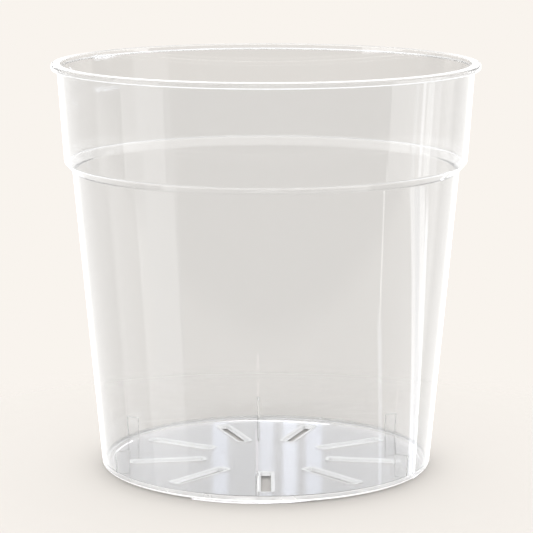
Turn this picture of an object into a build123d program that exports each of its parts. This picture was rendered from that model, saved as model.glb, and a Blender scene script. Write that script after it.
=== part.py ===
"""Clear moulded orchid pot with a slotted floor, in millimetres, +Z up.

The origin is on the axis, in the plane that the feet stand on. The front of the pot faces -Y.
The pot is one thin-walled moulding, divided where its wall changes direction.
"""
from build123d import *
import math
import os

# Overall sizes
RIM_DIAMETER = 120.0
POT_HEIGHT = 115.1
BASE_DIAMETER = 93.5

# Wall and floor
WALL = 0.9
FLOOR_THICKNESS = 1.2
CORNER_FILLET = 0.9
HEEL_ROUND = 1.0
BASE_RING_MARGIN = 0.9

# Rim bead
BEAD_HEIGHT = 1.7
BEAD_OVERHANG = 1.7
BEAD_TOP_ROUND = 0.7
BEAD_LOWER_ROUND = 0.5
BEAD_INNER_ROUND = 0.3

# Collar and shoulder
COLLAR_HEIGHT = 25.8
COLLAR_DRAFT = 3.88
SHOULDER_HEIGHT = 2.3
SHOULDER_STEP = 2.2
SHOULDER_ROUND = 0.8
SHOULDER_MARGIN = 1.0

# Drain slots
SLOT_COUNT = 9
SLOT_INNER_RADIUS = 18.4
SLOT_EDGE_MARGIN = 6.5
SLOT_WIDTH = 2.8
SLOT_CORNER = 0.5
SLOT_BEVEL = 0.4

# Stacking fins: two mirrored halves of three, each half turned a little off the centre plane
FINS_PER_HALF = 3
FIN_PITCH = 60.0
FIN_TURN = 3.0
FIN_HEIGHT = 6.5
FIN_DEPTH = 3.5
FIN_THICKNESS = 0.6

# Feet: a level land, then a ramp that rises to a thin toe
FOOT_COUNT = 4
FOOT_HEIGHT = 0.5
FOOT_WIDTH = 1.6
FOOT_TOE = 0.1
FOOT_START = -26.0
FOOT_LAND = 18.0
FOOT_RAMP = 32.0

# Directions about the axis are measured from the front, towards +X
FRONT = -90.0

# Radii and heights worked out from the sizes above
rim_radius = RIM_DIAMETER / 2
base_radius = BASE_DIAMETER / 2
base_level = FOOT_HEIGHT
floor_level = base_level + FLOOR_THICKNESS
ring_level = floor_level + CORNER_FILLET + BASE_RING_MARGIN
bead_level = POT_HEIGHT - BEAD_HEIGHT
shoulder_top = bead_level - COLLAR_HEIGHT
shoulder_foot = shoulder_top - SHOULDER_HEIGHT
collar_top_radius = rim_radius - BEAD_OVERHANG
collar_foot_radius = collar_top_radius - COLLAR_HEIGHT * math.tan(math.radians(COLLAR_DRAFT))
body_top_radius = collar_foot_radius - SHOULDER_STEP
shoulder_lean = math.atan2(SHOULDER_STEP, SHOULDER_HEIGHT)
inner_rise = WALL * math.tan(shoulder_lean / 2)
body_slope = (body_top_radius - base_radius) / (shoulder_foot - base_level)
corner_radius = base_radius - WALL + body_slope * FLOOR_THICKNESS
floor_radius = corner_radius - CORNER_FILLET
slot_outer_radius = floor_radius - SLOT_EDGE_MARGIN
fin_inner_radius = corner_radius - FIN_DEPTH


def body_inner_radius(level):
    """Inner radius of the body wall at a height."""
    return base_radius - WALL + body_slope * (level - base_level)


def round_corner(face, radius_at, level, size):
    """Round the section's corner that lies at one radius and height."""
    corner = Vector(radius_at, 0, level)
    vertex = min(face.vertices(), key=lambda point: (Vector(point) - corner).length)
    return fillet(vertex, size)


def moulding_section():
    """Half section of the whole moulding, in the XZ plane."""
    inner_top_radius = collar_top_radius - WALL
    inner_step_top = (collar_foot_radius - WALL, shoulder_top + inner_rise)
    inner_step_foot = (body_inner_radius(shoulder_foot + inner_rise), shoulder_foot + inner_rise)
    outline = [
        (0, base_level),
        (base_radius, base_level),
        (body_top_radius, shoulder_foot),
        (collar_foot_radius, shoulder_top),
        (collar_top_radius, bead_level),
        (rim_radius, bead_level),
        (rim_radius, POT_HEIGHT),
        (inner_top_radius, POT_HEIGHT),
        inner_step_top,
        inner_step_foot,
        (corner_radius, floor_level),
        (0, floor_level),
    ]
    corners = [
        (base_radius, base_level, HEEL_ROUND),
        (body_top_radius, shoulder_foot, SHOULDER_ROUND),
        (collar_foot_radius, shoulder_top, SHOULDER_ROUND),
        (rim_radius, bead_level, BEAD_LOWER_ROUND),
        (rim_radius, POT_HEIGHT, BEAD_TOP_ROUND),
        (inner_top_radius, POT_HEIGHT, BEAD_INNER_ROUND),
        (*inner_step_top, SHOULDER_ROUND),
        (*inner_step_foot, SHOULDER_ROUND),
        (corner_radius, floor_level, CORNER_FILLET),
    ]
    points = [Vector(radius_at, 0, level) for radius_at, level in outline]
    section = make_face(Polyline(*points, close=True))
    for radius_at, level, size in corners:
        section = round_corner(section, radius_at, level, size)
    return section


def window(inner, outer, low, high):
    """Rectangle in the XZ plane between two radii and two heights."""
    corners = [(inner, low), (outer, low), (outer, high), (inner, high)]
    points = [Vector(radius_at, 0, level) for radius_at, level in corners]
    return make_face(Polyline(*points, close=True))


def turned(section, inner, outer, low, high):
    """Ring or disc turned from the part of the section inside a window."""
    return revolve(section & window(inner, outer, low, high), Axis.Z)


def slotted_floor(section):
    """Flat floor with its radial drain slots."""
    disc = turned(section, 0, floor_radius, base_level, floor_level)
    length = slot_outer_radius - SLOT_INNER_RADIUS
    spread = 2 * SLOT_BEVEL
    outline = RectangleRounded(length, SLOT_WIDTH, SLOT_CORNER)
    mouth = RectangleRounded(length + spread, SLOT_WIDTH + spread, SLOT_CORNER + SLOT_BEVEL)
    straight = Pos(Z=base_level) * extrude(outline, FLOOR_THICKNESS)
    bevel = loft([Pos(Z=floor_level - SLOT_BEVEL) * outline, Pos(Z=floor_level) * mouth], ruled=True)
    cutter = Pos(X=SLOT_INNER_RADIUS + length / 2) * (straight + bevel)
    for number in range(SLOT_COUNT):
        disc -= Rot(Z=FRONT + number * 360 / SLOT_COUNT) * cutter
    return disc


def cavity(section):
    """Space inside the pot, from the floor to the mouth."""
    space = window(0, rim_radius, floor_level, POT_HEIGHT) - section
    inside = min(space.faces(), key=lambda face: face.center().X)
    return revolve(inside, Axis.Z)


def fin_directions():
    """Directions of the fins: three at the front, and the same three mirrored at the back."""
    first = -FIN_TURN - FIN_PITCH * (FINS_PER_HALF - 1) / 2
    front_half = [first + number * FIN_PITCH for number in range(FINS_PER_HALF)]
    return front_half + [180 - direction for direction in front_half]


def stacking_fin(direction, inside):
    """Upright fin that stands on the floor and meets the inside of the wall."""
    reach = rim_radius - fin_inner_radius
    place = Pos(fin_inner_radius + reach / 2, 0, floor_level + FIN_HEIGHT / 2)
    blank = place * Box(reach, FIN_THICKNESS, FIN_HEIGHT)
    return (Rot(Z=FRONT + direction) * blank) & inside


def foot(number):
    """Low foot under the base ring: a level land and a ramp up to its toe."""
    outer_radius = base_radius - HEEL_ROUND
    sweep = FOOT_LAND + FOOT_RAMP
    inner_radius = outer_radius - FOOT_WIDTH
    profile = window(inner_radius, outer_radius, 0, FOOT_HEIGHT)
    blank = revolve(profile, Axis.Z, sweep)
    run = inner_radius * math.sin(math.radians(FOOT_RAMP))
    ramp_angle = math.degrees(math.atan2(FOOT_HEIGHT - FOOT_TOE, run))
    wedge = Box(2 * base_radius, base_radius, 2 * FOOT_HEIGHT)
    under_ramp = Pos(base_radius / 2, base_radius / 2, -FOOT_HEIGHT) * wedge
    shaped = blank - Rot(Z=FOOT_LAND) * Rot(X=ramp_angle) * under_ramp
    return Rot(Z=FRONT + FOOT_START + number * 360 / FOOT_COUNT) * shaped


def build_pot():
    """All pieces of the pot by name."""
    section = moulding_section()
    shoulder_low = shoulder_foot - SHOULDER_MARGIN
    shoulder_high = shoulder_top + SHOULDER_MARGIN
    pieces = {
        "rim_bead": turned(section, 0, rim_radius, bead_level, POT_HEIGHT),
        "collar_wall": turned(section, 0, rim_radius, shoulder_high, bead_level),
        "shoulder_step": turned(section, 0, rim_radius, shoulder_low, shoulder_high),
        "body_wall": turned(section, 0, rim_radius, ring_level, shoulder_low),
        "base_ring": turned(section, floor_radius, rim_radius, base_level, ring_level),
        "slotted_floor": slotted_floor(section),
    }
    for number in range(FOOT_COUNT):
        pieces[f"foot_{number + 1}"] = foot(number)
    inside = cavity(section)
    for number, direction in enumerate(fin_directions()):
        pieces[f"stacking_fin_{number + 1}"] = stacking_fin(direction, inside)
    return pieces


os.makedirs("parts", exist_ok=True)
for name, piece in build_pot().items():
    export_step(piece, f"parts/{name}.step")
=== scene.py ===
"""Looks of a clear moulded orchid pot with a slotted floor, in metres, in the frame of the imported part.

+Z is up, the front of the pot faces -Y, and directions about the axis run from the front towards +X.
"""
import logging
import math
from dataclasses import dataclass
from enum import Enum
from typing import Iterable, Sequence

import bpy
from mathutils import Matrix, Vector
from mathutils.geometry import tessellate_polygon


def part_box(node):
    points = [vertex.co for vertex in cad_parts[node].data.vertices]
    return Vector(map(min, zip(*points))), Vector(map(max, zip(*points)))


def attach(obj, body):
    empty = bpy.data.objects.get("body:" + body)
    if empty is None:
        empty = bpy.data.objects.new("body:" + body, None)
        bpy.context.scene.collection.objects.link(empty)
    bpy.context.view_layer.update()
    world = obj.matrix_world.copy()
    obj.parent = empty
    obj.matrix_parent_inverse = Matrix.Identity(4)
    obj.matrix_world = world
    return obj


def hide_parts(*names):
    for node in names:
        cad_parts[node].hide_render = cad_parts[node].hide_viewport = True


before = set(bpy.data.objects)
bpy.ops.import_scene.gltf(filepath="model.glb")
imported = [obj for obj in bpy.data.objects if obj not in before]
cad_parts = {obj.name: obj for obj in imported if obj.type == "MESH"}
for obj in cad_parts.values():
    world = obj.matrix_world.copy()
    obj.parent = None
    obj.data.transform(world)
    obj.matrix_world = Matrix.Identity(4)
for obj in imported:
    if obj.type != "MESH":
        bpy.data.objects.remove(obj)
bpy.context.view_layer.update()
LOG = logging.getLogger("orchid_pot")

MM = 0.001
FULL_TURN = 360
UP = Vector((0.0, 0.0, 1.0))
DOWN = Vector((0.0, 0.0, -1.0))

Color = tuple[float, float, float]
Corner = tuple[Vector, Vector]
Node = bpy.types.Node
Socket = bpy.types.NodeSocket


class Mark(Enum):
    """Rows of the wall's section where another feature or finish of the pot starts."""

    PLAIN = "plain"
    FOOT_INNER = "foot inner edge"
    FOOT_OUTER = "foot outer edge"
    # Row where the painted heel light ends.
    HAZE_TOP = "upper end of the haze over the heel"
    FIN_CROWN = "fin crown on the wall"
    FIN_SIDE_TOP = "fin side on the wall"
    FIN_SIDE_FOOT = "fin side on the floor"
    FIN_TIP = "fin tip on the floor"


@dataclass(frozen=True)
class Station:
    """A point of the wall's section with the direction that the surface faces there."""

    radius: float
    height: float
    facing_out: float
    facing_up: float
    mark: Mark = Mark.PLAIN


@dataclass(frozen=True)
class Bend:
    """A corner of the section's outline, the size of its round and the mark of its row."""

    radius: float
    height: float
    rounding: float = 0.0
    mark: Mark = Mark.PLAIN


class Outline:
    """Turns a chain of section corners into stations, with the rounds as arcs."""

    ARC_STEP = math.radians(10)
    FEWEST_STEPS = 3
    LONGEST_ROW = 14 * MM

    def __init__(self, bends: Sequence[Bend]) -> None:
        """Keep the corners of the outline.

        Args:
            bends: Corners in order, with the material to the left of the way along them.
        """
        self.bends = list(bends)

    @staticmethod
    def heading(start: Bend, end: Bend) -> float:
        """Angle of the straight stretch between two corners, from outward to upward."""
        return math.atan2(end.height - start.height, end.radius - start.radius)

    @staticmethod
    def station(radius: float, height: float, heading: float, mark: Mark = Mark.PLAIN) -> Station:
        """Station on a stretch with that heading, facing to the right of it."""
        return Station(radius, height, math.sin(heading), -math.cos(heading), mark)

    def turned(self, number: int) -> list[Station]:
        """Stations of one corner, along its round.

        Args:
            number: Which corner of the outline.

        Returns:
            Stations from the round's start to its end, or one station where nothing turns.
        """
        bend = self.bends[number]
        before = self.heading(self.bends[number - 1], bend)
        after = self.heading(bend, self.bends[number + 1])
        turn = math.remainder(after - before, math.tau)
        if bend.rounding == 0:
            return [self.station(bend.radius, bend.height, before, bend.mark)]
        reach = bend.rounding * abs(math.tan(turn / 2))
        side = math.copysign(bend.rounding, turn)
        centre_radius = bend.radius - reach * math.cos(before) - side * math.sin(before)
        centre_height = bend.height - reach * math.sin(before) + side * math.cos(before)
        steps = max(self.FEWEST_STEPS, math.ceil(abs(turn) / self.ARC_STEP))
        headings = [before + turn * step / steps for step in range(steps + 1)]
        return [
            self.station(
                centre_radius + side * math.sin(heading),
                centre_height - side * math.cos(heading),
                heading,
            )
            for heading in headings
        ]

    def stations(self) -> list[Station]:
        """All stations, with long straight stretches divided into rows.

        Returns:
            Stations from the first corner to the last.
        """
        first, last = self.bends[0], self.bends[-1]
        row = [self.station(first.radius, first.height, self.heading(first, self.bends[1]), first.mark)]
        for number in range(1, len(self.bends) - 1):
            self.extend(row, self.turned(number))
        end_heading = self.heading(self.bends[-2], last)
        self.extend(row, [self.station(last.radius, last.height, end_heading, last.mark)])
        return row

    def extend(self, row: list[Station], more: Sequence[Station]) -> None:
        """Add stations to a row, with rows between where the straight stretch is long.

        Args:
            row: Stations so far, which grow.
            more: Stations of the next corner.
        """
        start, end = row[-1], more[0]
        length = math.hypot(end.radius - start.radius, end.height - start.height)
        parts = math.ceil(length / self.LONGEST_ROW)
        for part in range(1, parts):
            share = part / parts
            radius = start.radius + share * (end.radius - start.radius)
            height = start.height + share * (end.height - start.height)
            row.append(Station(radius, height, end.facing_out, end.facing_up))
        row.extend(more)


class Zone(Enum):
    """Stretches of the moulding that have a finish of their own, by the number of their material. Some are
    paler copies of the plastic that paint highlights and light lines.
    """

    WALL = 0
    BASE = 1
    # Painted highlight: a pale, mostly matt and strongly reflecting finish that paints white lines on the
    # slots, the heel, the floor's corner and the rim.
    EDGE = 2
    BEAD = 3
    # Painted heel light: a half matt white finish that paints the band over the heel pale, in place of the
    # light that the clear heel bends.
    HAZE = 4
    # Painted light line: a nearly clear finish without the wall's grey tint, lighter than the wall, that
    # paints light lines on the shoulder, the bead's inner round and the fins.
    BEND = 5


class Skin:
    """Welded points and faces with a normal at each corner, which become one closed mesh."""

    WELD = 1e-7

    def __init__(self) -> None:
        """Start with no points, on the wall."""
        self.points: list[Vector] = []
        self.numbers: dict[tuple[int, ...], int] = {}
        self.faces: list[list[int]] = []
        self.normals: list[Vector] = []
        self.zones: list[int] = []
        self.zone = Zone.WALL

    def number(self, place: Vector) -> int:
        """Number of the point at a place, which is added if it is new.

        Args:
            place: Where the point is.

        Returns:
            The point's number.
        """
        key = tuple(round(value / self.WELD) for value in place)
        if key not in self.numbers:
            self.numbers[key] = len(self.points)
            self.points.append(place)
        return self.numbers[key]

    def face(self, corners: Iterable[Corner]) -> None:
        """Add a face from its corners, counter-clockwise as seen from outside.

        Args:
            corners: Place and normal of each corner.
        """
        listed = list(corners)
        self.faces.append([self.number(place) for place, _ in listed])
        self.normals.extend(normal for _, normal in listed)
        self.zones.append(self.zone.value)

    def flat(self, places: Iterable[Vector], normal: Vector) -> None:
        """Add a face whose corners all face one way."""
        self.face((place, normal) for place in places)

    def build(self, name: str) -> bpy.types.Object:
        """Make the mesh object.

        Args:
            name: Name of the piece.

        Returns:
            The object, linked to the scene.
        """
        mesh = bpy.data.meshes.new(name)
        mesh.from_pydata(self.points, [], self.faces)
        mesh.shade_smooth()
        mesh.normals_split_custom_set(self.normals)
        mesh.polygons.foreach_set("material_index", self.zones)
        piece = bpy.data.objects.new(name, mesh)
        bpy.context.scene.collection.objects.link(piece)
        return piece


def outward(degrees: float) -> Vector:
    """Level direction away from the axis at an angle from the front."""
    angle = math.radians(degrees)
    return Vector((math.sin(angle), -math.cos(angle), 0.0))


def sideways(degrees: float) -> Vector:
    """Level direction of growing angle at an angle from the front."""
    angle = math.radians(degrees)
    return Vector((math.cos(angle), math.sin(angle), 0.0))


def on_ring(degrees: float, radius: float, height: float) -> Vector:
    """Place at an angle, a radius and a height."""
    return outward(degrees) * radius + UP * height


class NodeTree:
    """Short calls to build a shader's nodes, with the numbers of a colour mix's sockets."""

    MIX_SHARE = 0
    MIX_FIRST = 6
    MIX_SECOND = 7
    MIX_RESULT = 2

    def __init__(self, tree: bpy.types.NodeTree) -> None:
        """Empty a node tree and keep it."""
        tree.nodes.clear()
        self.tree = tree

    def add(self, kind: str) -> Node:
        """Add a node of a kind."""
        return self.tree.nodes.new(kind)

    def link(self, source: Socket, target: Socket) -> None:
        """Join an output to an input."""
        self.tree.links.new(source, target)

    def feed(self, value: Socket | float, target: Socket) -> None:
        """Link a socket to an input, or set a plain number on it.

        Args:
            value: A socket, a number or a colour.
            target: The input.
        """
        if isinstance(value, Socket):
            self.link(value, target)
        else:
            target.default_value = value

    def math(self, operation: str, *values: Socket | float) -> Socket:
        """Work out a sum of sockets or numbers.

        Args:
            operation: Name of the operation.
            values: What goes into it, in order.

        Returns:
            The result's socket.
        """
        node = self.add("ShaderNodeMath")
        node.operation = operation
        for value, target in zip(values, node.inputs):
            self.feed(value, target)
        return node.outputs["Value"]

    def noise(self, place: Socket, scale: float, detail: float) -> Socket:
        """Soft noise over a surface, from 0 to 1.

        Args:
            place: Where on the surface.
            scale: How fine it is.
            detail: How many finer layers it has.

        Returns:
            The noise's socket.
        """
        node = self.add("ShaderNodeTexNoise")
        node.inputs["Scale"].default_value = scale
        node.inputs["Detail"].default_value = detail
        self.link(place, node.inputs["Vector"])
        return node.outputs["Fac"]

    def ramp(self, value: Socket, low: float, high: float, start: float, end: float) -> Socket:
        """Smooth change from start to end while a value goes from low to high.

        Args:
            value: The value that is read.
            low: Where the change starts.
            high: Where it ends.
            start: Result at the low end.
            end: Result at the high end.

        Returns:
            The result's socket.
        """
        node = self.add("ShaderNodeMapRange")
        node.interpolation_type = "SMOOTHSTEP"
        self.link(value, node.inputs["Value"])
        for name, number in zip(("From Min", "From Max", "To Min", "To Max"), (low, high, start, end)):
            node.inputs[name].default_value = number
        return node.outputs["Result"]

    def mix_color(self, share: Socket, first: Socket | Color, second: Socket | Color) -> Socket:
        """Blend two colours by a share.

        Args:
            share: 0 gives the first colour, 1 the second.
            first: A colour or a socket.
            second: A colour or a socket.

        Returns:
            The blended colour's socket.
        """
        node = self.add("ShaderNodeMix")
        node.data_type = "RGBA"
        self.link(share, node.inputs[self.MIX_SHARE])
        for colour, number in ((first, self.MIX_FIRST), (second, self.MIX_SECOND)):
            plain = isinstance(colour, tuple)
            self.feed((*colour, 1.0) if plain else colour, node.inputs[number])
        return node.outputs[self.MIX_RESULT]

    def mix_shader(self, share: Socket, first: Socket, second: Socket) -> Socket:
        """Blend two shaders by a share.

        Args:
            share: 0 gives the first shader, 1 the second.
            first: A shader's socket.
            second: A shader's socket.

        Returns:
            The blended shader's socket.
        """
        node = self.add("ShaderNodeMixShader")
        for source, target in zip((share, first, second), node.inputs):
            self.link(source, target)
        return node.outputs["Shader"]

    def finish_with(self, shader: Socket, kind: str = "ShaderNodeOutputMaterial") -> None:
        """Send a shader to the output."""
        self.link(shader, self.add(kind).inputs["Surface"])


@dataclass(frozen=True)
class ClearPlastic:
    """Clear, glossy, faintly grey moulded plastic that lets the light of the room through. With less
    clarity, no tint or a raised refraction, it makes the paler copies that paint highlights and light
    lines.
    """

    name: str
    tint: Color = (1.0, 1.0, 1.0)
    deep_tint: Color = (0.98, 0.98, 0.98)
    clarity: float = 1.0
    refraction: float = 1.49
    smoothest: float = 0.006
    dullest: float = 0.02
    cloud_scale: float = 22.0
    mark_scale: float = 160.0
    mark_start: float = 0.35
    mark_end: float = 0.75
    flow_scale: float = 170.0
    flow_stretch: float = 0.06
    flow_depth: float = 0.002 * MM
    thick_level: float = 2 * MM
    thin_level: float = 9 * MM
    floor_end: float = 41 * MM
    ring_start: float = 45 * MM
    floor_shade: Color = (0.28, 0.28, 0.28)
    ring_shade: Color = (0.65, 0.65, 0.65)
    thin_shade: Color = (0.955, 0.955, 0.955)

    def material(self) -> bpy.types.Material:
        """Build the node material.

        Returns:
            The finished material.
        """
        material = bpy.data.materials.new(self.name)
        material.use_nodes = True
        tree = NodeTree(material.node_tree)
        place = tree.add("ShaderNodeTexCoord").outputs["Object"]
        shader = tree.add("ShaderNodeBsdfPrincipled")
        shader.inputs["Transmission Weight"].default_value = self.clarity
        shader.inputs["IOR"].default_value = self.refraction
        self.tint_clouds(tree, place, shader)
        self.handling_marks(tree, place, shader)
        self.flow_lines(tree, place, shader)
        veil = tree.add("ShaderNodeBsdfTransparent")
        self.shade_ramp(tree, place, veil)
        rays = tree.add("ShaderNodeLightPath")
        passing = tree.math("MAXIMUM", rays.outputs["Is Shadow Ray"], rays.outputs["Is Diffuse Ray"])
        tree.finish_with(tree.mix_shader(passing, shader.outputs["BSDF"], veil.outputs["BSDF"]))
        return material

    def tint_clouds(self, tree: NodeTree, place: Socket, shader: Node) -> None:
        """Let the grey tint drift a little across the moulding.

        Args:
            tree: The material's nodes.
            place: Place on the moulding.
            shader: Shader of the plastic.
        """
        clouds = tree.noise(place, self.cloud_scale, detail=2.0)
        colour = tree.mix_color(clouds, self.tint, self.deep_tint)
        tree.link(colour, shader.inputs["Base Color"])

    def handling_marks(self, tree: NodeTree, place: Socket, shader: Node) -> None:
        """Vary the gloss where the plastic is faintly dulled by handling.

        Args:
            tree: The material's nodes.
            place: Place on the moulding.
            shader: Shader of the plastic.
        """
        marks = tree.noise(place, self.mark_scale, detail=4.0)
        gloss = tree.ramp(marks, self.mark_start, self.mark_end, self.smoothest, self.dullest)
        tree.link(gloss, shader.inputs["Roughness"])

    def flow_lines(self, tree: NodeTree, place: Socket, shader: Node) -> None:
        """Add the shallow upright waves that the flow of the moulding leaves.

        Args:
            tree: The material's nodes.
            place: Place on the moulding.
            shader: Shader of the plastic.
        """
        stretch = tree.add("ShaderNodeMapping")
        stretch.inputs["Scale"].default_value = (1.0, 1.0, self.flow_stretch)
        tree.link(place, stretch.inputs["Vector"])
        waves = tree.noise(stretch.outputs["Vector"], self.flow_scale, detail=1.0)
        bump = tree.add("ShaderNodeBump")
        bump.inputs["Strength"].default_value = 1.0
        bump.inputs["Distance"].default_value = self.flow_depth
        tree.link(waves, bump.inputs["Height"])
        tree.link(bump.outputs["Normal"], shader.inputs["Normal"])

    def shade_ramp(self, tree: NodeTree, place: Socket, veil: Node) -> None:
        """Make the slotted floor hold back more light from the ground than its ring and the wall.

        Args:
            tree: The material's nodes.
            place: Place on the moulding.
            veil: Shader that the light for the ground passes.
        """
        split = tree.add("ShaderNodeSeparateXYZ")
        tree.link(place, split.inputs["Vector"])
        across, along, height = split.outputs
        squared = tree.math("MULTIPLY_ADD", across, across, tree.math("MULTIPLY", along, along))
        reach = tree.math("SQRT", squared)
        on_ring_share = tree.ramp(reach, self.floor_end, self.ring_start, 0.0, 1.0)
        base_shade = tree.mix_color(on_ring_share, self.floor_shade, self.ring_shade)
        wall_share = tree.ramp(height, self.thick_level, self.thin_level, 0.0, 1.0)
        tree.link(tree.mix_color(wall_share, base_shade, self.thin_shade), veil.inputs["Color"])


@dataclass
class OrchidPot:
    """The whole clear moulding: bead, collar, shoulder, body, base, slotted floor, fins and feet."""

    ANGLE_DIGITS = 3

    finishes: dict[Zone, ClearPlastic]
    rim_radius: float
    top: float
    bead_level: float
    base_level: float
    floor_level: float
    wall: float = 0.9 * MM
    base_radius: float = 46.75 * MM
    bead_overhang: float = 1.7 * MM
    bead_top_round: float = 0.7 * MM
    bead_lower_round: float = 0.5 * MM
    bead_inner_round: float = 0.3 * MM
    collar_height: float = 25.8 * MM
    collar_draft: float = math.radians(3.88)
    shoulder_height: float = 2.3 * MM
    shoulder_step: float = 2.2 * MM
    shoulder_round: float = 0.8 * MM
    inner_rise: float = 0.02 * MM
    heel_round: float = 1.0 * MM
    corner_fillet: float = 0.9 * MM
    # Height of the heel's outer band that takes the painted highlight.
    heel_highlight_height: float = 0.75 * MM
    # Height over the floor up to which the heel band takes the painted heel light.
    painted_heel_light_height: float = 0.65 * MM
    # Span below the shoulder's top that takes the painted light line.
    light_line_start: float = 0.1 * MM
    light_line_end: float = 0.75 * MM
    # Bands of the floor's corner and the rim's outer round that take the painted highlight.
    corner_highlight_height: float = 0.12 * MM
    rim_highlight_start: float = 0.03 * MM
    rim_highlight_end: float = 0.2 * MM
    slot_count: int = 9
    slot_inner_radius: float = 18.4 * MM
    slot_edge_margin: float = 6.5 * MM
    slot_width: float = 2.8 * MM
    slot_corner: float = 0.5 * MM
    slot_lip: float = 0.55 * MM
    slot_top_round: float = 0.5 * MM
    slot_lower_round: float = 0.15 * MM
    slot_corner_steps: int = 6
    slot_round_steps: int = 5
    fin_pitch: int = 60
    fin_turn: int = 3
    fin_height: float = 6.5 * MM
    fin_depth: float = 3.5 * MM
    fin_half_angle: float = 0.385
    fin_round: float = 0.2 * MM
    foot_count: int = 4
    foot_width: float = 1.6 * MM
    foot_toe: float = 0.1 * MM
    foot_start: int = -26
    foot_land: int = 18
    foot_ramp: int = 32
    floor_inset: float = 0.6 * MM
    columns_per_degree: int = 2

    @classmethod
    def from_frame(cls, finishes: dict[Zone, ClearPlastic]) -> "OrchidPot":
        """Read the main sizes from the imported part.

        Args:
            finishes: Finish of each zone of the pot.

        Returns:
            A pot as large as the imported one.
        """
        bead_low, bead_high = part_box("rim_bead")
        floor_low, floor_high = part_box("slotted_floor")
        return cls(finishes, bead_high.x, bead_high.z, bead_low.z, floor_low.z, floor_high.z)

    def __post_init__(self) -> None:
        """Work out the radii and heights that follow from the sizes."""
        self.shoulder_top = self.bead_level - self.collar_height
        self.shoulder_foot = self.shoulder_top - self.shoulder_height
        self.collar_top_radius = self.rim_radius - self.bead_overhang
        self.collar_foot_radius = self.collar_top_radius - self.collar_height * math.tan(self.collar_draft)
        self.body_top_radius = self.collar_foot_radius - self.shoulder_step
        body_height = self.shoulder_foot - self.base_level
        self.body_slope = (self.body_top_radius - self.base_radius) / body_height
        self.corner_radius = self.inner_radius(self.floor_level)
        self.fin_tip_radius = self.corner_radius - self.fin_depth
        self.fin_top = self.floor_level + self.fin_height
        self.plate_radius = self.fin_tip_radius - self.floor_inset
        self.slot_outer_radius = self.corner_radius - self.corner_fillet - self.slot_edge_margin
        self.foot_outer_radius = self.base_radius - self.heel_round
        self.foot_inner_radius = self.foot_outer_radius - self.foot_width
        self.skin = Skin()
        self.stations = self.section()
        self.rows = {station.mark: row for row, station in enumerate(self.stations)}
        self.columns = self.column_angles()

    def inner_radius(self, height: float) -> float:
        """Inner radius of the body wall at a height."""
        return self.base_radius - self.wall + self.body_slope * (height - self.base_level)

    def section(self) -> list[Station]:
        """Section of the wall, from under the floor plate round to the floor's top.

        Returns:
            Stations in order, with the material to the left.
        """
        inner_top = self.collar_top_radius - self.wall
        inner_step_top = self.shoulder_top + self.inner_rise
        inner_step_foot = self.shoulder_foot + self.inner_rise
        fin_side_top = self.fin_top - self.fin_round
        painted_heel_light_top = self.floor_level + self.painted_heel_light_height
        line_radius = self.collar_foot_radius - self.shoulder_step * self.light_line_end / self.shoulder_height
        bends = [
            Bend(self.plate_radius, self.base_level),
            Bend(self.foot_inner_radius, self.base_level, mark=Mark.FOOT_INNER),
            Bend(self.foot_outer_radius, self.base_level, mark=Mark.FOOT_OUTER),
            Bend(self.base_radius, self.base_level, self.heel_round),
            Bend(self.inner_radius(painted_heel_light_top) + self.wall, painted_heel_light_top, mark=Mark.HAZE_TOP),
            Bend(self.body_top_radius, self.shoulder_foot, self.shoulder_round),
            Bend(line_radius, self.shoulder_top - self.light_line_end),
            Bend(self.collar_foot_radius, self.shoulder_top, self.shoulder_round),
            Bend(self.collar_top_radius, self.bead_level),
            Bend(self.rim_radius, self.bead_level, self.bead_lower_round),
            Bend(self.rim_radius, self.top, self.bead_top_round),
            Bend(inner_top, self.top, self.bead_inner_round),
            Bend(self.collar_foot_radius - self.wall, inner_step_top, self.shoulder_round),
            Bend(self.inner_radius(inner_step_foot), inner_step_foot, self.shoulder_round),
            Bend(self.inner_radius(self.fin_top), self.fin_top, mark=Mark.FIN_CROWN),
            Bend(self.inner_radius(fin_side_top), fin_side_top, mark=Mark.FIN_SIDE_TOP),
            Bend(self.corner_radius, self.floor_level, self.corner_fillet),
            Bend(self.fin_tip_radius + self.fin_round, self.floor_level, mark=Mark.FIN_SIDE_FOOT),
            Bend(self.fin_tip_radius, self.floor_level, mark=Mark.FIN_TIP),
            Bend(self.plate_radius, self.floor_level),
        ]
        return Outline(bends).stations()

    def fin_angles(self) -> list[int]:
        """Angles of the fins: three at the front, and the same three mirrored at the back.

        Returns:
            Degrees from the front, in order.
        """
        front = [-self.fin_turn + step * self.fin_pitch for step in (-1, 0, 1)]
        back = [FULL_TURN // 2 - angle for angle in front]
        return sorted(angle % FULL_TURN for angle in front + back)

    def column_angles(self) -> list[float]:
        """Angles of the mesh's columns, with two in place of one at each fin.

        Returns:
            Degrees from the front, in order.
        """
        fins = self.fin_angles()
        columns: list[float] = []
        for step in range(self.columns_per_degree * FULL_TURN):
            angle = step / self.columns_per_degree
            if angle in fins:
                columns += [angle - self.fin_half_angle, angle + self.fin_half_angle]
            else:
                columns.append(angle)
        return columns

    def strips(self) -> Iterable[tuple[float, float]]:
        """Pairs of neighbouring columns, once round the pot."""
        return zip(self.columns, self.columns[1:] + [self.columns[0] + FULL_TURN])

    def corner(self, angle: float, row: int) -> Corner:
        """Place and normal of one station at an angle.

        Args:
            angle: Degrees from the front.
            row: Which station.

        Returns:
            The place, and the way that the surface faces there.
        """
        station = self.stations[row]
        normal = outward(angle) * station.facing_out + UP * station.facing_up
        return on_ring(angle, station.radius, station.height), normal

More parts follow.
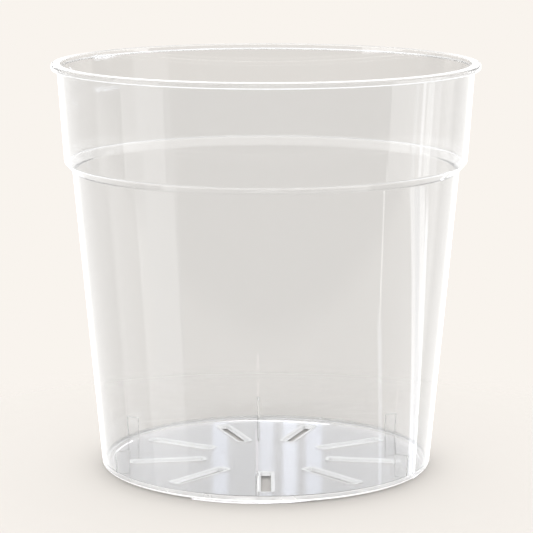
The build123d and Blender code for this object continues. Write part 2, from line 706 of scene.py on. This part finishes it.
    def build(self) -> bpy.types.Object:
        """Build the pot as one closed mesh and dress it.

        Returns:
            The pot's piece.
        """
        for start, end in self.strips():
            self.build_strip(start, end)
        self.skin.zone = Zone.BASE
        for angle in self.fin_angles():
            self.build_fin(angle)
        for number in range(self.foot_count):
            self.build_foot_ends(self.foot_start + number * FULL_TURN // self.foot_count)
        self.build_floor_plate()
        piece = self.skin.build("clear_pot")
        for zone in Zone:
            piece.data.materials.append(self.finishes[zone].material())
        return piece

    def build_strip(self, start: float, end: float) -> None:
        """Build the wall between two columns, with a foot or a gap for a fin where there is one.

        Args:
            start: Angle of the strip's first column.
            end: Angle of its second column.
        """
        middle = (start + end) / 2
        on_fin = round(middle, self.ANGLE_DIGITS) % FULL_TURN in self.fin_angles()
        on_foot = self.foot_share(middle) is not None
        for row in range(len(self.stations) - 1):
            self.skin.zone = self.zone_after(row)
            if on_foot and row == self.rows[Mark.FOOT_INNER]:
                self.build_foot_strip(start, end)
            elif on_fin and self.joins_fin(row):
                continue
            else:
                corners = ((start, row), (end, row), (end, row + 1), (start, row + 1))
                self.skin.face(self.corner(angle, level) for angle, level in corners)

    def zone_after(self, row: int) -> Zone:
        """Zone of the face after a row of the section.

        Args:
            row: The row that the face starts from.

        Returns:
            The face's zone.
        """
        ends = self.stations[row:row + 2]
        low, high = sorted(station.height for station in ends)
        if row < self.rows[Mark.FOOT_OUTER] or row >= self.rows[Mark.FIN_SIDE_FOOT] - 1:
            return Zone.BASE
        # Painted highlight along the floor's corner and the heel's outer band.
        on_corner = row > self.rows[Mark.FIN_CROWN] and high < self.floor_level + self.corner_highlight_height
        if on_corner or high < self.base_level + self.heel_highlight_height:
            return Zone.EDGE
        # Painted heel light on the band over the heel.
        if row < self.rows[Mark.HAZE_TOP]:
            return Zone.HAZE
        # Painted light line along the shoulder's lower bend and the bead's inner round.
        below_bend = self.shoulder_top - (low + high) / 2
        on_light_line = ends[0].facing_out > 0 and self.light_line_start < below_bend < self.light_line_end
        if on_light_line or all(self.on_bead_inside(station) for station in ends):
            return Zone.BEND
        # Painted highlight along the rim's outer round.
        if all(self.on_rim_painted_highlight(station) for station in ends):
            return Zone.EDGE
        if low > self.bead_level - self.bead_lower_round:
            return Zone.BEAD
        return Zone.WALL

    def on_rim_painted_highlight(self, station: Station) -> bool:
        """Whether a station lies on the band of the bead's top round that takes the painted highlight.

        Args:
            station: A point of the section.

        Returns:
            True on the painted highlight band.
        """
        below_top = self.top - station.height
        outside = station.radius > self.rim_radius - self.bead_top_round
        return outside and self.rim_highlight_start < below_top < self.rim_highlight_end

    def on_bead_inside(self, station: Station) -> bool:
        """Whether a station lies on the bead's inner round.

        Args:
            station: A point of the section.

        Returns:
            True on the inner round.
        """
        reach = self.bead_inner_round
        inside = station.radius < self.collar_top_radius - self.wall + reach
        return inside and self.top - station.height < reach

    def joins_fin(self, row: int) -> bool:
        """Whether the fin takes the place of the face above or inside a row."""
        return self.rows[Mark.FIN_CROWN] - 1 <= row <= self.rows[Mark.FIN_TIP]

    def build_fin(self, angle: float) -> None:
        """Build one upright fin with rounded edges, and the faces where it joins wall and floor.

        Args:
            angle: Direction of the fin's middle plane.
        """
        crown = self.rows[Mark.FIN_CROWN]
        tip = self.rows[Mark.FIN_TIP]
        crown_angle = self.fin_half_angle - math.degrees(self.fin_round / self.fin_tip_radius)
        wall_radius = self.stations[crown].radius
        side_radius = self.fin_tip_radius + self.fin_round
        side_top = self.fin_top - self.fin_round
        inward = -outward(angle)

        def on_crown(side: int, radius: float, height: float) -> Vector:
            """Place on one edge of the crown."""
            return on_ring(angle + side * crown_angle, radius, height)

        def on_side(side: int, radius: float, height: float) -> Vector:
            """Place on one side of the fin."""
            return on_ring(angle + side * self.fin_half_angle, radius, height)

        back = (wall_radius, self.fin_top)
        front = (self.fin_tip_radius, self.fin_top)
        toe = (self.fin_tip_radius, self.floor_level)
        # All faces of the fin take the painted light line finish, which draws the fin's outline light.
        self.skin.zone = Zone.BEND
        ways = ((-1, front), (-1, back), (1, back), (1, front))
        self.skin.flat((on_crown(side, *place) for side, place in ways), UP)
        ways = ((1, toe), (-1, toe), (-1, front), (1, front))
        self.skin.flat((on_crown(side, *place) for side, place in ways), inward)
        for side in (-1, 1):
            facing = sideways(angle + side * self.fin_half_angle) * side
            column = angle + side * self.fin_half_angle
            rows = range(self.rows[Mark.FIN_SIDE_TOP], self.rows[Mark.FIN_SIDE_FOOT] + 1)
            edge = [self.corner(column, row)[0] for row in rows]
            self.skin.flat((edge + [on_side(side, side_radius, side_top)])[::side], facing)
            top_edge = [
                (on_crown(side, *front), UP),
                (on_crown(side, *back), UP),
                (edge[0], facing),
                (on_side(side, side_radius, side_top), facing),
            ]
            self.skin.face(top_edge[::side])
            tip_edge = [
                (on_crown(side, *toe), inward),
                (on_crown(side, *front), inward),
                (on_side(side, side_radius, side_top), facing),
                (on_side(side, side_radius, self.floor_level), facing),
            ]
            self.skin.face(tip_edge[::side])
        self.skin.zone = Zone.BASE
        self.build_fin_join(angle, (crown - 1, crown, crown + 1), [on_crown(1, *back), on_crown(-1, *back)])
        self.build_fin_join(angle, (tip + 1, tip, tip - 1), [on_crown(-1, *toe), on_crown(1, *toe)])

    def build_fin_join(self, angle: float, rows: tuple[int, int, int], crown: list[Vector]) -> None:
        """Build the face of wall or floor that runs up to a fin's end.

        Args:
            angle: Direction of the fin's middle plane.
            rows: Rows from the plain wall or floor to the fin's side.
            crown: The two corners of the fin's crown that lie in the face.
        """
        first = -1 if rows[0] < rows[1] else 1
        normal = self.corner(angle, rows[0])[1]
        near = [self.corner(angle + first * self.fin_half_angle, row)[0] for row in rows]
        far = [self.corner(angle - first * self.fin_half_angle, row)[0] for row in rows]
        self.skin.flat([near[1], near[0], *far, *crown, near[2]], normal)

    def foot_share(self, angle: float) -> "float | None":
        """Degrees past the start of the foot at an angle, or None between feet."""
        past = (angle - self.foot_start) % (FULL_TURN // self.foot_count)
        return past if past <= self.foot_land + self.foot_ramp else None

    def foot_level(self, past: float, radius: float) -> float:
        """Height of a foot's underside.

        Args:
            past: Degrees past the foot's start.
            radius: Radius on the foot.

        Returns:
            The height over the ground.
        """
        beyond = math.radians(max(0.0, past - self.foot_land))
        run = self.foot_inner_radius * math.sin(math.radians(self.foot_ramp))
        return (self.base_level - self.foot_toe) * radius * math.sin(beyond) / run

    def foot_section(self, angle: float, past: float) -> list[Vector]:
        """Four corners of a foot's section, from the inner top by the ground to the outer top.

        Args:
            angle: Degrees from the front.
            past: Degrees past the foot's start.

        Returns:
            The corners in order.
        """
        inner, outer = self.foot_inner_radius, self.foot_outer_radius
        return [
            on_ring(angle, inner, self.base_level),
            on_ring(angle, inner, self.foot_level(past, inner)),
            on_ring(angle, outer, self.foot_level(past, outer)),
            on_ring(angle, outer, self.base_level),
        ]

    def build_foot_strip(self, start: float, end: float) -> None:
        """Build a foot's two sides and underside between two columns.

        Args:
            start: Angle of the first column.
            end: Angle of the second column.
        """
        past = self.foot_share((start + end) / 2)
        half = (end - start) / 2
        first = self.foot_section(start, past - half)
        second = self.foot_section(end, past + half)
        for row, normals in enumerate((
            (-outward(start), -outward(end)),
            (DOWN, DOWN),
            (outward(start), outward(end)),
        )):
            self.skin.face([
                (first[row], normals[0]),
                (second[row], normals[1]),
                (second[row + 1], normals[1]),
                (first[row + 1], normals[0]),
            ])

    def build_foot_ends(self, start: float) -> None:
        """Close a foot at its heel and at the toe of its ramp.

        Args:
            start: Angle of the foot's heel.
        """
        length = self.foot_land + self.foot_ramp
        self.skin.flat(self.foot_section(start, 0.0), -sideways(start))
        self.skin.flat(self.foot_section(start + length, length)[::-1], sideways(start + length))

    def slot_ring(self, angle: float, offset: float, height: float, tilt: float) -> list[Corner]:
        """One line round a slot, counter-clockwise from above.

        Args:
            angle: Direction of the slot.
            offset: How far the line lies outside the slot's clear opening.
            height: Height of the line.
            tilt: Angle that the surface faces above the level, in radians.

        Returns:
            Place and normal of each point.
        """
        along, across = outward(angle), sideways(angle)
        half_length = (self.slot_outer_radius - self.slot_inner_radius) / 2
        middle = along * (self.slot_inner_radius + half_length) + UP * height
        corners = ((1, 1), (-1, 1), (-1, -1), (1, -1))
        ring: list[Corner] = []
        for quarter, (ahead, aside) in enumerate(corners):
            centre = middle + along * ahead * (half_length - self.slot_corner)
            centre = centre + across * aside * (self.slot_width / 2 - self.slot_corner)
            for step in range(self.slot_corner_steps + 1):
                turn = math.tau / 4 * (quarter + step / self.slot_corner_steps)
                away = along * math.cos(turn) + across * math.sin(turn)
                normal = -away * math.cos(tilt) + UP * math.sin(tilt)
                ring.append((centre + away * (self.slot_corner + offset), normal))
        return ring

    def slot_rings(self, angle: float) -> list[list[Corner]]:
        """Lines round one slot, from the floor's top to its underside.

        Args:
            angle: Direction of the slot.

        Returns:
            Lines in order, each with the place and normal of its points.
        """
        quarter = math.tau / 4
        rings = [self.slot_ring(angle, self.slot_top_round + self.slot_lip, self.floor_level, quarter)]
        for step in range(self.slot_round_steps + 1):
            turn = quarter * step / self.slot_round_steps
            offset = self.slot_top_round * (1 - math.sin(turn))
            height = self.floor_level - self.slot_top_round * (1 - math.cos(turn))
            rings.append(self.slot_ring(angle, offset, height, quarter - turn))
        for step in range(self.slot_round_steps + 1):
            turn = quarter * step / self.slot_round_steps
            offset = self.slot_lower_round * (1 - math.cos(turn))
            height = self.base_level + self.slot_lower_round * (1 - math.sin(turn))
            rings.append(self.slot_ring(angle, offset, height, -turn))
        return rings

    def build_floor_plate(self) -> None:
        """Build the flat floor inside the fins, with its slots cut right through."""
        top_lines = [[self.corner(angle, -1)[0] for angle in self.columns]]
        under_lines = [[self.corner(angle, 0)[0] for angle in self.columns]]
        for number in range(self.slot_count):
            rings = self.slot_rings(number * FULL_TURN / self.slot_count)
            top_lines.append([place for place, _ in rings[0]])
            under_lines.append([place for place, _ in rings[-1]])
            for step, (upper, lower) in enumerate(zip(rings, rings[1:])):
                # The slots' rims and upper rounds take the painted highlight finish, and their lower walls
                # stay clear.
                self.skin.zone = Zone.EDGE if step <= self.slot_round_steps + 1 else Zone.BASE
                self.build_slot_band(upper, lower)
        self.skin.zone = Zone.BASE
        self.build_holed_face(top_lines, UP)
        self.build_holed_face(under_lines, DOWN)

    def build_slot_band(self, upper: list[Corner], lower: list[Corner]) -> None:
        """Build the band of a slot's wall between two lines.

        Args:
            upper: The line above the band.
            lower: The line below it.
        """
        for point in range(len(upper)):
            following = (point + 1) % len(upper)
            self.skin.face([lower[point], upper[point], upper[following], lower[following]])

    def build_holed_face(self, lines: list[list[Vector]], normal: Vector) -> None:
        """Build a flat face with holes.

        Args:
            lines: The outer line, then the line of each hole.
            normal: The way that the face looks.
        """
        places = [place for line in lines for place in line]
        for triangle in tessellate_polygon(lines):
            first, second, third = (places[number] for number in triangle)
            upright = (second - first).cross(third - first).dot(normal) > 0
            self.skin.flat((first, second, third) if upright else (first, third, second), normal)


class SeenBy(Enum):
    """Which rays from the pot meet a panel of the studio."""

    GLOSS = "reflections alone"
    ALL = "reflections and what shows through"
    THROUGH = "what shows through alone"


@dataclass(frozen=True)
class Panel:
    """A soft box of the studio, as the clear plastic shows it. Angles are in degrees.

    The azimuth runs from the back, at 0, towards +X, and the elevation up from the horizon.
    A panel that leans has its azimuths at its upper end, and shifts by the lean for each degree of rise.
    """

    name: str
    left: float
    right: float
    low: float
    high: float
    light: Color
    edge: float = 4.0
    seen_by: SeenBy = SeenBy.GLOSS
    lean: float = 0.0


@dataclass
class Studio:
    """Camera, pale floor and soft light around the pot."""

    backdrop: Color = (0.947, 0.905, 0.855)
    back_lean: float = 0.4
    side_lack: float = 1.0
    low_lean: float = 0.95
    camera_place: tuple[float, float, float] = (0.00017, -0.68439, 0.17883)
    camera_tilt: float = math.radians(79.894)
    lens: float = 165.38
    sensor: float = 36.0
    floor_drop: float = 0.02 * MM
    floor_solid: float = 80 * MM
    floor_reach: float = 135 * MM
    floor_rings: int = 12
    panels: tuple[Panel, ...] = (
        Panel("surround", -200, 200, -100, -4, (2.6, 2.6, 2.6), 6.0),
        Panel("ground glow", -200, 200, -100, -60, (2.1, 2.1, 2.1), 6.0),
        Panel("ceiling", -200, 200, 12, 40, (3.2, 3.2, 3.2), 6.0, SeenBy.ALL),
        Panel("zenith", -200, 200, 40, 91, (1.9, 1.9, 1.9), 6.0, SeenBy.ALL),
        Panel("dim room", 60, 305, -1.5, 4.2, (0.15, 0.15, 0.15), 1.5, SeenBy.ALL),
        Panel("right glow", 96, 121, -6, 7, (0.9, 0.9, 0.9), 2.0, SeenBy.THROUGH),
        Panel("window glint", 82, 84, -1.1, 0.0, (6.0, 6.4, 7.0), 0.3, SeenBy.THROUGH, lean=19.4),
        Panel("horizon", -80, 80, 0, 5.15, (0.65, 0.65, 0.65), 0.3, SeenBy.ALL),
        Panel("horizon light", -80, 80, 5.15, 9, (1.9, 1.9, 1.9), 0.3, SeenBy.ALL),
        Panel("high window", -75, 75, 9, 40, (1.0, 1.0, 1.0), 1.0, SeenBy.ALL),
        Panel("back window", -75, 75, 12.5, 17, (1.83, 1.82, 1.82), 1.0, SeenBy.ALL),
        Panel("first pane", -1.57, -1.12, 12.5, 17, (2.35, 2.4, 2.55), 0.2, SeenBy.ALL),
        Panel("second pane", -0.2, 0.2, 12.5, 17, (2.35, 2.38, 2.5), 0.2, SeenBy.ALL),
        Panel("third pane", 0.47, 0.88, 12.5, 17, (2.6, 2.65, 2.8), 0.2, SeenBy.ALL),
        Panel("fourth pane", 1.14, 1.62, 12.5, 17, (2.4, 2.45, 2.6), 0.2, SeenBy.ALL),
        Panel("side wall", -72, 54, -26, 0, (1.72, 1.72, 1.72), 8.0),
        Panel("back wall", -32, 30, -26, 0, (2.0, 2.0, 2.0), 8.0),
        Panel("low wall", -75, 75, -58, -21.5, (1.4, 1.4, 1.4), 3.0),
        Panel("left box", -122, -93.5, -15.6, 5, (3.75, 3.75, 3.75), 1.5),
        Panel("left lower box", -124, -95.5, -26, -15.6, (3.7, 3.7, 3.7), 1.5),
        Panel("right box", 80, 107.5, -15, 5, (4.2, 4.2, 4.2), 1.5),
        Panel("right strip", 67.5, 76.3, -13.4, 5, (3.45, 3.45, 3.5), 1.5),
        Panel("right streak", 74.5, 80.2, -14.2, 5, (5.0, 5.05, 5.1), 1.0),
        Panel("first streak line", 81.8, 84.2, -14.2, 5, (6.2, 6.25, 6.4), 0.6),
        Panel("second streak line", 87.6, 90.3, -14.2, 5, (4.8, 4.85, 4.9), 0.6),
        Panel("right lower glow", 70, 86, -26, -14, (3.7, 3.8, 4.0), 1.0, lean=4.45),
        Panel("right middle line", 69.9, 77.1, -16.8, -14, (4.8, 4.85, 4.95), 1.0, lean=4.8),
        Panel("right lower line", 85, 90.5, -26, -14, (4.75, 4.8, 4.95), 1.0, lean=5.67),
        Panel("right second line", 64.5, 68.3, -26, -14, (5.0, 5.05, 5.2), 1.0, lean=3.3),
        Panel("right thin line", 107.4, 108.6, -19.5, -14, (5.4, 5.4, 5.4), 0.6, lean=1.1),
        Panel("right low band", 100.5, 104.5, -26, -19.2, (4.3, 4.4, 4.6), 0.8, lean=3.5),
    )

    def build(self) -> None:
        """Build camera, floor and light."""
        self.build_camera()
        self.build_floor()
        self.build_world()
        bpy.context.scene.view_settings.view_transform = "Standard"

    def build_camera(self) -> None:
        """Stand the camera where the photograph was taken from."""
        lens = bpy.data.cameras.new("photo_camera")
        lens.lens = self.lens
        lens.sensor_width = self.sensor
        camera = bpy.data.objects.new("photo_camera", lens)
        camera.location = self.camera_place
        camera.rotation_euler = (self.camera_tilt, 0.0, 0.0)
        bpy.context.scene.collection.objects.link(camera)
        bpy.context.scene.camera = camera

    def build_floor(self) -> None:
        """Lay a round pale floor that fades into the backdrop."""
        skin = Skin()
        for angle in range(FULL_TURN):
            for ring in range(self.floor_rings):
                inner = self.floor_reach * ring / self.floor_rings
                outer = self.floor_reach * (ring + 1) / self.floor_rings
                ways = [(angle, inner), (angle, outer), (angle + 1, outer), (angle + 1, inner)]
                if ring == 0:
                    ways.pop()
                skin.flat((on_ring(turn, radius, -self.floor_drop) for turn, radius in ways), UP)
        floor = skin.build("studio_floor")
        floor.data.materials.append(self.floor_material())
        floor.visible_glossy = False

    def floor_material(self) -> bpy.types.Material:
        """Matt floor in the backdrop's colour that keeps the pot's shadow.

        Returns:
            The finished material.
        """
        material = bpy.data.materials.new("studio_floor_paper")
        material.use_nodes = True
        tree = NodeTree(material.node_tree)
        place = tree.add("ShaderNodeTexCoord").outputs["Object"]
        distance = tree.add("ShaderNodeVectorMath")
        distance.operation = "LENGTH"
        tree.link(place, distance.inputs[0])
        fade = tree.ramp(distance.outputs["Value"], self.floor_solid, self.floor_reach, 0.0, 1.0)
        paper = tree.add("ShaderNodeBsdfDiffuse")
        paper.inputs["Color"].default_value = (*self.backdrop, 1.0)
        clear = tree.add("ShaderNodeBsdfTransparent")
        tree.finish_with(tree.mix_shader(fade, paper.outputs["BSDF"], clear.outputs["BSDF"]))
        return material

    def build_world(self) -> None:
        """Light everything evenly, and show the soft boxes in the clear plastic alone."""
        world = bpy.data.worlds.new("soft_studio")
        bpy.context.scene.world = world
        world.use_nodes = True
        tree = NodeTree(world.node_tree)
        way = tree.add("ShaderNodeSeparateXYZ")
        tree.link(tree.add("ShaderNodeTexCoord").outputs["Generated"], way.inputs["Vector"])
        azimuth = tree.math("ARCTAN2", way.outputs["X"], way.outputs["Y"])
        elevation = tree.math("ARCSINE", way.outputs["Z"])
        through: Socket | Color = self.backdrop
        mirrored: Socket | Color = self.backdrop
        for panel in self.panels:
            share = self.panel_share(tree, azimuth, elevation, panel)
            if panel.seen_by is not SeenBy.THROUGH:
                mirrored = tree.mix_color(share, mirrored, panel.light)
            if panel.seen_by is not SeenBy.GLOSS:
                through = tree.mix_color(share, through, panel.light)
        rays = tree.add("ShaderNodeLightPath")
        ambient = self.ambient(tree, way.outputs)
        light = tree.mix_color(rays.outputs["Is Glossy Ray"], ambient, mirrored)
        light = tree.mix_color(rays.outputs["Is Transmission Ray"], light, through)
        light = tree.mix_color(rays.outputs["Is Camera Ray"], light, self.backdrop)
        background = tree.add("ShaderNodeBackground")
        tree.link(light, background.inputs["Color"])
        tree.finish_with(background.outputs["Background"], "ShaderNodeOutputWorld")

    def ambient(self, tree: NodeTree, way: bpy.types.NodeOutputs) -> Socket:
        """Soft light on the floor, which leans to the back and the horizon, away from the sides.

        The leans cancel over the whole sky, so a bare floor always gets the same light.

        Args:
            tree: The world's nodes.
            way: The three parts of the direction that is looked in.

        Returns:
            The light's level.
        """
        across = tree.math("MULTIPLY", way["X"], way["X"])
        along = tree.math("MULTIPLY", way["Y"], way["Y"])
        upright = tree.math("MULTIPLY", way["Z"], way["Z"])
        level = tree.math("MULTIPLY_ADD", way["Y"], self.back_lean, 1.0 + self.low_lean)
        level = tree.math("MULTIPLY_ADD", along, self.side_lack, level)
        level = tree.math("MULTIPLY_ADD", across, -self.side_lack, level)
        return tree.math("MULTIPLY_ADD", upright, -2 * self.low_lean, level)

    @staticmethod
    def panel_share(tree: NodeTree, azimuth: Socket, elevation: Socket, panel: Panel) -> Socket:
        """How much of a panel shows in a direction, with soft edges.

        Args:
            tree: The world's nodes.
            azimuth: Angle about the axis, in radians.
            elevation: Angle over the horizon, in radians.
            panel: The panel.

        Returns:
            A share from 0 to 1.
        """
        half = math.radians(panel.right - panel.left) / 2
        edge = math.radians(panel.edge)
        centre = math.radians(panel.left + panel.right) / 2
        low, high = math.radians(panel.low), math.radians(panel.high)
        turned = tree.math("SUBTRACT", azimuth, centre - panel.lean * high)
        turned = tree.math("MULTIPLY_ADD", elevation, -panel.lean, turned)
        near = tree.math("ABSOLUTE", tree.math("WRAP", turned, math.pi, -math.pi))
        within = tree.ramp(near, half - edge / 2, half + edge / 2, 1.0, 0.0)
        above = tree.ramp(elevation, low - edge / 2, low + edge / 2, 0.0, 1.0)
        below = tree.ramp(elevation, high - edge / 2, high + edge / 2, 1.0, 0.0)
        return tree.math("MULTIPLY", within, tree.math("MULTIPLY", above, below))


def allow_light_through_glass(bounces: int = 96) -> None:
    """Let light turn often enough inside the clear plastic to come out again.

    Args:
        bounces: How many turns a ray may take.
    """
    settings = bpy.context.scene.cycles
    settings.max_bounces = bounces
    settings.glossy_bounces = bounces
    settings.transmission_bounces = bounces
    settings.transparent_max_bounces = bounces


def pot_finishes() -> dict[Zone, ClearPlastic]:
    """Finish of each zone of the moulding.

    Returns:
        The finishes by zone.
    """
    return {
        Zone.WALL: ClearPlastic(
            "clear_wall_plastic",
            tint=(0.835, 0.84, 0.845),
            deep_tint=(0.825, 0.83, 0.835),
        ),
        Zone.BASE: ClearPlastic(
            "clear_base_plastic",
            tint=(0.985, 0.97, 0.985),
            deep_tint=(0.965, 0.95, 0.965),
            flow_depth=0.0005 * MM,
        ),
        # Painted highlight: mostly matt white with raised reflection, for the white lines on the slots,
        # heel, floor corner and rim.
        Zone.EDGE: ClearPlastic(
            "pale_edge_plastic_painted_highlight",
            clarity=0.12,
            refraction=2.8,
            smoothest=0.36,
            dullest=0.44,
        ),
        Zone.BEAD: ClearPlastic(
            "clear_bead_plastic",
            tint=(0.89, 0.895, 0.9),
            deep_tint=(0.87, 0.875, 0.88),
        ),
        # Painted heel light: half matt white over the heel.
        Zone.HAZE: ClearPlastic(
            "half_matt_plastic_painted_heel_light",
            clarity=0.5,
            smoothest=0.2,
            dullest=0.3,
        ),
        # Painted light line: untinted and slightly matt, lighter than the wall, for the shoulder line, the
        # bead's inner round and the fins.
        Zone.BEND: ClearPlastic(
            "pale_plastic_painted_light_line",
            clarity=0.94,
            smoothest=0.1,
            dullest=0.2,
        ),
    }


def main() -> None:
    """Build the studio and the pot, and report each piece."""
    logging.basicConfig(level=logging.INFO, format="%(name)s: %(message)s")
    Studio().build()
    allow_light_through_glass()
    pot = OrchidPot.from_frame(pot_finishes()).build()
    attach(pot, "root")
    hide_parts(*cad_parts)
    LOG.info("%s: %d faces, stands for %d nodes", pot.name, len(pot.data.polygons), len(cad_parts))


if __name__ == "__main__":
    main()
